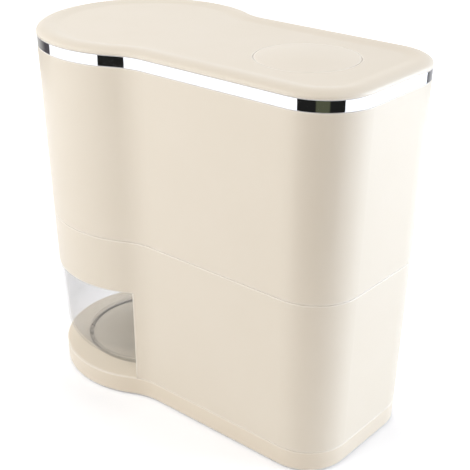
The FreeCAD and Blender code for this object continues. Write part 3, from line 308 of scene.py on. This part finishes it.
cream = moulded("ABS_moulded_cream", "#ebe3d3", "#e9e1d0", 0.34)
for node in ("upper_housing", "lower_housing"):
    finish_node(node, cream)
# The tray's cream is a shade warmer than the tubes': painted warm light for the platform that the housing
# shades.
finish_node("base_plate", moulded("ABS_cream_tray_painted_warm", "#ece2d0", "#eae0cd", 0.34))

# ---- Bright band ---------------------------------------------------------------------------------
# A thin ABS strip round the rim, copper and chrome plated, pressed over the hopper's neck. Plating
# rounds its edges and gives the eye a hard mirror with a trace of orange peel and a faint haze.
RIM_LENGTH, RIM_WIDTH, RIM_LEVEL = 0.3536, 0.159, 0.325
NOSE, NECK, CORNER = 0.0968, 0.055, 0.0455
DRAFT = math.tan(math.radians(1.15))
NOSE_AXIS = NOSE - RIM_LENGTH / 2


def rim_outline(nose_steps=150, neck_steps=22, side_steps=10, corner_steps=40):
    """The rim seen from above, as points and outward normals, made of arcs, centre + radius (cos, sin),
    and straight runs between them. It goes round the nose from -X through -Y to +X, then through a
    hollow neck arc, a straight side, a corner, the rear, and back."""
    side = RIM_WIDTH / 2 + NECK
    neck_y = NOSE_AXIS + math.sqrt((NOSE + NECK) ** 2 - side ** 2)
    lean = math.acos(side / (NOSE + NECK))
    rear = RIM_LENGTH / 2

    def swing(x, y, radius, start, end, steps, hollow=False):
        angle = np.linspace(start, end, steps, endpoint=False)
        normal = np.stack([np.cos(angle), np.sin(angle)], -1)
        return np.array([x, y]) + radius * normal, -normal if hollow else normal

    def run(start, end, normal, steps):
        share = np.linspace(0, 1, steps, endpoint=False)[:, None]
        return np.array(start) * (1 - share) + np.array(end) * share, np.tile(normal, (steps, 1))

    half, bend, bend_y = RIM_WIDTH / 2, RIM_WIDTH / 2 - CORNER, rear - CORNER
    parts = [swing(0, NOSE_AXIS, NOSE, -math.pi - lean, lean, nose_steps),
             swing(side, neck_y, NECK, math.pi + lean, math.pi, neck_steps, hollow=True),
             run((half, neck_y), (half, bend_y), (1, 0), side_steps),
             swing(bend, bend_y, CORNER, 0, math.pi / 2, corner_steps),
             run((bend, rear), (-bend, rear), (0, 1), side_steps),
             swing(-bend, bend_y, CORNER, math.pi / 2, math.pi, corner_steps),
             run((-half, bend_y), (-half, neck_y), (-1, 0), side_steps),
             swing(-side, neck_y, NECK, 0, -lean, neck_steps, hollow=True)]
    return tuple(np.concatenate(part) for part in zip(*parts))


def carried(profile, outline):
    """Carries a profile of (inset, height) pairs round an outline: each point is the outline's point
    moved inwards along its normal by the inset, at that height."""
    points, normals = outline
    inset, height = profile[:, 0, None, None], profile[:, 1, None]
    flat = points[None] - inset * normals[None]
    return np.concatenate([flat, np.broadcast_to(height[..., None], (*flat.shape[:2], 1))], -1)


def rounded(corners, radii, steps=6, lead=0.00005):
    """A profile whose corners are arcs, closed, or open with a radius of 0 at both ends: each corner is
    cut back along both its sides by radius / tan(half the angle), and the arc between the cuts is
    sampled evenly. One more point a lead beyond each end of an arc keeps the flat beside it flat
    under smooth shading."""
    corners, made = np.array(corners, float), []
    for i, radius in enumerate(radii):
        here, before, after = corners[i], corners[i - 1], corners[(i + 1) % len(corners)]
        if radius == 0:
            made.append(here[None])
            continue
        u, v = before - here, after - here
        u, v = u / np.linalg.norm(u), v / np.linalg.norm(v)
        half = math.acos(np.clip(u @ v, -1, 1)) / 2
        centre = here + (u + v) / np.linalg.norm(u + v) * radius / math.sin(half)
        first, last = here + u * radius / math.tan(half), here + v * radius / math.tan(half)
        a, b = (first - centre) / radius, (last - centre) / radius
        sweep = math.acos(np.clip(a @ b, -1, 1))
        share = np.linspace(0, 1, steps)[:, None]
        arc = (np.sin((1 - share) * sweep) * a + np.sin(share * sweep) * b) / math.sin(sweep)
        made += [(first + u * lead)[None], centre + radius * arc, (last + v * lead)[None]]
    return np.concatenate(made)


def inset_at(level):
    """How far the tapered wall lies inside the rim at a level: its drop times the slope of the draft."""
    return (RIM_LEVEL - level) * DRAFT


BAND_LOW, BAND_TOP, BAND_WALL = 0.3166, 0.3259, 0.0013
BAND_FOOT_ROUND, BAND_ROUND = 0.0004, 0.0002
ORANGE_PEEL, PEEL_DEPTH, HAZE = 0.006, 0.00004, 0.03
outline = rim_outline()
chrome, tree, output = new_material("chrome_plate_on_ABS")
place = add(tree, "ShaderNodeTexCoord").outputs["Object"]
peel = add(tree, "ShaderNodeTexNoise", {"Vector": place, "Scale": 1 / ORANGE_PEEL, "Detail": 1.0})
haze = add(tree, "ShaderNodeTexNoise", {"Vector": place, "Scale": 1 / HAZE, "Detail": 3.0})
dull = add(tree, "ShaderNodeMapRange", {"Value": haze.outputs["Fac"], "To Min": 0.02, "To Max": 0.05})
skin = add(tree, "ShaderNodeBump", {"Height": peel.outputs["Fac"], "Distance": PEEL_DEPTH,
                                    "Strength": 0.35})
plate = add(tree, "ShaderNodeBsdfPrincipled", {"Base Color": linear("#e9eaec"), "Metallic": 1.0,
                                               "Roughness": dull.outputs[0], "Normal": skin.outputs[0]})
tree.links.new(plate.outputs[0], output.inputs["Surface"])
low_inset = inset_at(BAND_LOW)
band_profile = rounded([(low_inset, BAND_LOW), (0, BAND_TOP), (BAND_WALL, BAND_TOP),
                        (low_inset + BAND_WALL, BAND_LOW)],
                       [BAND_FOOT_ROUND, BAND_ROUND, BAND_ROUND, BAND_ROUND])
band = grid_mesh("rim_band", carried(band_profile, outline), around=True, along=True, material=chrome)
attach(band, "housing")
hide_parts("trim_ring")

# ---- Joint shoulder and bay beads --------------------------------------------------------------------
# Both are moulded with the cream ABS walls. A shoulder on the upper tube's tongue nearly fills the
# joint, and a small bead stiffens the free edge at each side of the open bay and catches the light.
JOINT_LOW, JOINT_TOP, JOINT_DEPTH, SHOULDER_WALL = 0.16152, 0.16198, 0.00045, 0.0009
BAY_ANGLE, PLINTH_LEVEL, SKIRT_LEVEL = math.radians(121.4), 0.0195, 0.1105
BEAD, BEAD_SUNK = 0.0012, 0.97
shoulder_face = inset_at(JOINT_LOW) + JOINT_DEPTH
shoulder_back = shoulder_face + SHOULDER_WALL
shoulder_profile = np.array([(shoulder_face, JOINT_LOW), (shoulder_face, JOINT_TOP),
                             (shoulder_back, JOINT_TOP), (shoulder_back, JOINT_LOW)])
shoulder = grid_mesh("joint_shoulder", carried(shoulder_profile, outline), around=True, along=True,
                     material=cream, smooth=False)
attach(shoulder, "housing")


def edge_bead(name, side, rows=24, steps=20):
    """A round bead up one edge of the bay. The edge lies where a ray from the nose's axis meets the
    hollow neck arc, at the nearer root of |t ray - centre| = radius. The bead's centre is sunk from
    there by nearly its radius, between the two faces that meet at the edge."""
    level = np.linspace(PLINTH_LEVEL, SKIRT_LEVEL, rows)
    ray = np.array([math.sin(BAY_ANGLE), -math.cos(BAY_ANGLE)])
    middle_x = RIM_WIDTH / 2 + NECK
    centre = np.array([middle_x, math.sqrt((NOSE + NECK) ** 2 - middle_x ** 2)])
    radius = NECK + inset_at(level)
    reach = ray @ centre - np.sqrt((ray @ centre) ** 2 - centre @ centre + radius ** 2)
    edge = reach[:, None] * ray
    outward = (centre - edge) / radius[:, None] + np.array([ray[1], -ray[0]])
    outward /= np.linalg.norm(outward, axis=1, keepdims=True)
    middle = edge - outward * BEAD * BEAD_SUNK
    angle = np.linspace(0, 2 * math.pi, steps, endpoint=False)[::side]
    x = side * (middle[:, :1] + BEAD * np.cos(angle))
    y = NOSE_AXIS + middle[:, 1:] + BEAD * np.sin(angle)
    skin = np.stack([x, y, np.broadcast_to(level[:, None], x.shape)], -1)
    corners = numbered([skin])[0]
    return grid_mesh(name, skin, around=True, material=cream, fills=[corners[0][::-1], corners[-1]])


for name, side in (("bay_bead_right", 1), ("bay_bead_left", -1)):
    bead = edge_bead(name, side)
    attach(bead, "housing")

# ---- Lid cover -------------------------------------------------------------------------------------
# One cream ABS moulding: a short upright edge, a full round shoulder to a crown 9 mm in, and a soft
# fall of about 2 mm to a flat panel. A round seat takes the cap over the moisture case.
LID_LOW, LID_TOP, PANEL, LID_UNDER = 0.3260, 0.3318, 0.3300, 0.3281
LID_EDGE, LID_UPRIGHT, SHOULDER_WIDTH, FALL_WIDTH = 0.0014, 0.0010, 0.0090, 0.0130
LID_FOOT_ROUND, LID_ROUND = 0.0003, 0.0002


def lid_surface(outline, steps=30):
    """Rows of the lid from under its edge up and over to the panel. The shoulder is a quarter ellipse,
    width (1 - cos) by height sin, and the fall beyond the crown is the smooth step 3 t^2 - 2 t^3."""
    shoulder_low = LID_LOW + LID_UPRIGHT
    edge = rounded([(LID_EDGE, LID_UNDER), (LID_EDGE, LID_LOW), (0, LID_LOW), (0, shoulder_low)],
                   [0, LID_FOOT_ROUND, LID_ROUND, 0])
    quarter = np.linspace(0, math.pi / 2, steps)[1:]
    shoulder = np.stack([SHOULDER_WIDTH * (1 - np.cos(quarter)),
                         shoulder_low + (LID_TOP - shoulder_low) * np.sin(quarter)], -1)
    share = np.linspace(0, 1, steps)[1:]
    fall = np.stack([SHOULDER_WIDTH + FALL_WIDTH * share,
                     LID_TOP - (LID_TOP - PANEL) * share ** 2 * (3 - 2 * share)], -1)
    return carried(np.concatenate([edge, shoulder, fall]), outline)


def turned(profile, angle, centre):
    """Rows of a turned surface: each (radius, height) of the profile at each angle round a centre, as
    centre + radius (cos, sin)."""
    radius, height = profile[:, 0, None], profile[:, 1, None]
    x = centre[0] + radius * np.cos(angle)[None]
    y = centre[1] + radius * np.sin(angle)[None]
    return np.stack([x, y, np.broadcast_to(height, x.shape)], -1)


def half_panels(outer, inner, tip, rear):
    """Two flat faces between an outline and a circle within it, parted along the middle plane, which
    holds the outline's tip and rear. Both rings of corner numbers run the same way round, and the
    circle's starts on the nose side."""
    middle = len(inner) // 2
    right = np.concatenate([outer[tip:rear + 1], inner[:middle + 1][::-1]])
    left = np.concatenate([outer[rear:], outer[:tip + 1], inner[:1], inner[middle:][::-1]])
    return [right, left]


CAP_Y, CAP_RADIUS, CAP_ROUND, CAP_FLAT = 0.092, 0.042, 0.0004, 0.0020
SEAT_PLAY, SEAT_DEPTH, SEAT_ROUND, SEAT_LAND = 0.0003, 0.0010, 0.0003, 0.0008
CAP_STEPS = 152
full_turn = np.linspace(-math.pi / 2, math.pi * 1.5, CAP_STEPS, endpoint=False)
upper = lid_surface(outline)
seat_profile = rounded([(CAP_RADIUS + SEAT_LAND, PANEL), (CAP_RADIUS + SEAT_PLAY, PANEL),
                        (CAP_RADIUS + SEAT_PLAY, PANEL - SEAT_DEPTH)], [0, SEAT_ROUND, 0])
seat = turned(seat_profile, full_turn, (0, CAP_Y))
lid_corners, seat_corners = numbered([upper, seat])
tip = int(np.argmin(outline[0][:, 1]))
rear = int(np.argmin(np.abs(outline[0][:, 0]) - outline[0][:, 1]))
cover = grid_mesh("lid_top", [upper, seat], around=True, material=cream,
                  fills=[*half_panels(lid_corners[-1], seat_corners[0], tip, rear), seat_corners[-1],
                         lid_corners[0][::-1]])
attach(cover, "lid")
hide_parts("lid_cover")

# The cap over the moisture case lies flush in its seat and leaves a hairline round it.
cap_profile = rounded([(CAP_RADIUS, PANEL - SEAT_DEPTH), (CAP_RADIUS, PANEL),
                       (CAP_RADIUS - CAP_FLAT, PANEL)], [0, CAP_ROUND, 0])
cap_skin = turned(cap_profile, full_turn, (0, CAP_Y))
cap_corners = numbered([cap_skin])[0]
cap = grid_mesh("lid_cap", cap_skin, around=True, material=cream,
                fills=[cap_corners[-1], cap_corners[0][::-1]])
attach(cap, "lid")
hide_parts("lid_disc")

# ---- Lid liner, seal and moisture case ---------------------------------------------------------------
# The liner is a white polypropylene moulding that plugs the hopper's mouth, and the vented case twists
# into its collar. Polypropylene looks duller and waxier than ABS. The seal on the plug is a soft ring
# of milky, matt silicone with one lip.
white_liner = moulded("polypropylene_moulded_white", "#e9e7e1", "#e4e2db", 0.42, grain=WAXY_GRAIN)
for node in ("lid_liner", "case_cup", "case_cap"):
    finish_node(node, white_liner)

MOTTLE, MOTTLE_DEPTH, MOTTLE_DRIFT = 0.004, 0.00005, 0.08


def rubber(name, colour, roughness, translucent=0.0):
    """Moulded rubber or silicone: matt, with light inside where translucent. The mottling of fine dust
    is made a few millimetres wide, so that it shows."""
    material, tree, output = new_material(name)
    place = add(tree, "ShaderNodeTexCoord").outputs["Object"]
    mottle = add(tree, "ShaderNodeTexNoise", {"Vector": place, "Scale": 1 / MOTTLE, "Detail": 4.0})
    gloss = add(tree, "ShaderNodeMapRange", {"Value": mottle.outputs["Fac"],
                                             "To Min": roughness - MOTTLE_DRIFT,
                                             "To Max": roughness + MOTTLE_DRIFT})
    skin = add(tree, "ShaderNodeBump", {"Height": mottle.outputs["Fac"], "Distance": MOTTLE_DEPTH,
                                        "Strength": 0.6})
    body = add(tree, "ShaderNodeBsdfPrincipled", {"Base Color": linear(colour), "IOR": 1.41,
                                                  "Roughness": gloss.outputs[0], "Normal": skin.outputs[0],
                                                  "Subsurface Weight": translucent,
                                                  "Subsurface Radius": (0.002, 0.002, 0.0018)})
    tree.links.new(body.outputs[0], output.inputs["Surface"])
    return material


silicone = rubber("silicone_translucent_white", "#e6e6e2", 0.5, translucent=0.3)
for node in ("lid_seal", "inlet_wiper"):
    finish_node(node, silicone)

# ---- Hopper floor and metering box ---------------------------------------------------------------------
# White ABS mouldings inside the housings, smoother and glossier than the outside: a sloping floor that
# guides the rice to a slot, and the box below it. Its slide, of dull grey acetal, carries one portion
# from the slot to the outlet.
white_works = moulded("ABS_moulded_white", "#efeee9", "#ebeae4", 0.30)
for node in ("hopper_floor", "metering_box", "metering_cover"):
    finish_node(node, white_works)
finish_node("metering_slide", moulded("acetal_moulded_grey", "#9da1a3", "#969a9c", 0.38, grain=WAXY_GRAIN))

# ---- Press button and bezel ------------------------------------------------------------------------------
# The button is a cream ABS cap, moulded to the curve of the nose, that pushes the slide by a link.
# A chrome-plated ABS bezel pressed into the wall frames it with a bright line.
finish_node("press_button", cream)
finish_node("button_bezel", chrome)

# ---- Return spring ---------------------------------------------------------------------------------------
# Stainless spring wire of 0.8 mm, coiled cold, with a closed turn at each end that sits square. The
# wire has a soft grey gleam with fine streaks, made 0.6 mm wide here so that they show.
COIL, WIRE, TURNS, TURN_STEPS, SECTION_STEPS, CLOSING = 0.0070, 0.0004, 7, 36, 10, 0.75
DRAWN_STREAK = 0.0006
steel, tree, output = new_material("stainless_spring_wire")
place = add(tree, "ShaderNodeTexCoord").outputs["Object"]
streak = add(tree, "ShaderNodeTexNoise", {"Vector": place, "Scale": 1 / DRAWN_STREAK, "Detail": 2.0})
dull = add(tree, "ShaderNodeMapRange", {"Value": streak.outputs["Fac"], "To Min": 0.22, "To Max": 0.38})
wire = add(tree, "ShaderNodeBsdfPrincipled", {"Base Color": linear("#c9c8c4"), "Metallic": 1.0,
                                              "Roughness": dull.outputs[0]})
tree.links.new(wire.outputs[0], output.inputs["Surface"])


def coil_spring(name, start, end, level, material):
    """A tube along a helix about the Y axis. With t the share of the turns, the rise is
    t - CLOSING sin(2 pi t) / 2 pi, slow at both ends, and the wire's section is a circle across the
    helix's own tangent."""
    turn = np.linspace(0, TURNS, TURNS * TURN_STEPS + 1)
    share = turn / TURNS
    rise = share - np.sin(2 * math.pi * share) / (2 * math.pi) * CLOSING
    angle = 2 * math.pi * turn
    y = start + WIRE + (end - start - 2 * WIRE) * rise
    line = np.stack([COIL * np.sin(angle), y, level + COIL * np.cos(angle)], -1)
    tangent = np.gradient(line, axis=0)
    tangent /= np.linalg.norm(tangent, axis=1, keepdims=True)
    outward = np.stack([np.sin(angle), np.zeros_like(angle), np.cos(angle)], -1)
    across = np.cross(tangent, outward)
    section = np.linspace(0, 2 * math.pi, SECTION_STEPS, endpoint=False)[:, None, None]
    tube = line[None] + WIRE * (np.cos(section) * outward[None] + np.sin(section) * across[None])
    tube = tube.transpose(1, 0, 2)[::-1]
    corners = numbered([tube])[0]
    return grid_mesh(name, tube, around=True, material=material, fills=[corners[0][::-1], corners[-1]])


spring_low, spring_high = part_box("return_spring")
coil_level = (spring_low[2] + spring_high[2]) / 2
spring = coil_spring("return_coil", spring_low[1], spring_high[1], coil_level, steel)
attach(spring, "housing")
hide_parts("return_spring")
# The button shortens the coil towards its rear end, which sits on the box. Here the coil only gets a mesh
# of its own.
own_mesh(spring)

# ---- Drawer bowl -----------------------------------------------------------------------------------------
# The drawer is a bowl of clear SAN, injection moulded and polished, which stands in the open bay on a
# foot ring and is drawn out by the tall lip over the skirt. Its thin clear wall veils what lies behind
# it faintly, more where it stands upright and most where it is seen edge on.
SCUFF, WALL_VEIL, FLOOR_VEIL, EDGE_VEIL = 0.012, (0.165, 0.185), 0.03, 0.28
GRAZING_POWER = 5.0
clear, tree, output = new_material("SAN_moulded_clear")
place = add(tree, "ShaderNodeTexCoord").outputs["Object"]
slant = add(tree, "ShaderNodeLayerWeight", {"Blend": 0.5})
grazing = add(tree, "ShaderNodeMath", {0: slant.outputs["Facing"], 1: GRAZING_POWER}, operation="POWER")
faces = add(tree, "ShaderNodeSeparateXYZ", {0: add(tree, "ShaderNodeNewGeometry").outputs["Normal"]})
level = add(tree, "ShaderNodeMath", {0: faces.outputs["Z"]}, operation="ABSOLUTE")
scuff = add(tree, "ShaderNodeTexNoise", {"Vector": place, "Scale": 1 / SCUFF, "Detail": 5.0})
upright = add(tree, "ShaderNodeMapRange", {"Value": scuff.outputs["Fac"], "To Min": WALL_VEIL[0],
                                           "To Max": WALL_VEIL[1]})
facing = add(tree, "ShaderNodeMapRange", {"Value": level.outputs[0], "To Min": upright.outputs[0],
                                          "To Max": FLOOR_VEIL})
veil = add(tree, "ShaderNodeMapRange", {"Value": grazing.outputs[0], "To Min": facing.outputs[0],
                                        "To Max": EDGE_VEIL})
resin = add(tree, "ShaderNodeBsdfPrincipled", {"Base Color": linear("#9a9a9b"), "IOR": 1.57,
                                               "Specular IOR Level": 0.15, "Roughness": 0.06,
                                               "Alpha": veil.outputs[0]})
tree.links.new(resin.outputs[0], output.inputs["Surface"])
finish_node("drawer_bowl", clear)
# A clear wall this thin casts next to no shadow.
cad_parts["drawer_bowl"].visible_shadow = False

# ---- Feet and screws -------------------------------------------------------------------------------------
# Six pads of moulded black rubber, dead matt, press into the plinth. Zinc-plated pan-head screws join
# plinth, housing, metering box and button link. The plating is a soft grey metal with a cloudy bloom.
finish_node("foot_pads", rubber("nitrile_rubber_black", "#2b2b2b", 0.72))
BLOOM = 0.002
zinc, tree, output = new_material("zinc_plated_steel")
place = add(tree, "ShaderNodeTexCoord").outputs["Object"]
bloom = add(tree, "ShaderNodeTexNoise", {"Vector": place, "Scale": 1 / BLOOM, "Detail": 4.0})
dull = add(tree, "ShaderNodeMapRange", {"Value": bloom.outputs["Fac"], "To Min": 0.28, "To Max": 0.45})
plate = add(tree, "ShaderNodeBsdfPrincipled", {"Base Color": linear("#cfd2d4"), "Metallic": 1.0,
                                               "Roughness": dull.outputs[0]})
tree.links.new(plate.outputs[0], output.inputs["Surface"])
for node in ("base_screws", "ceiling_screws", "cover_screws", "link_screws"):
    finish_node(node, zinc)
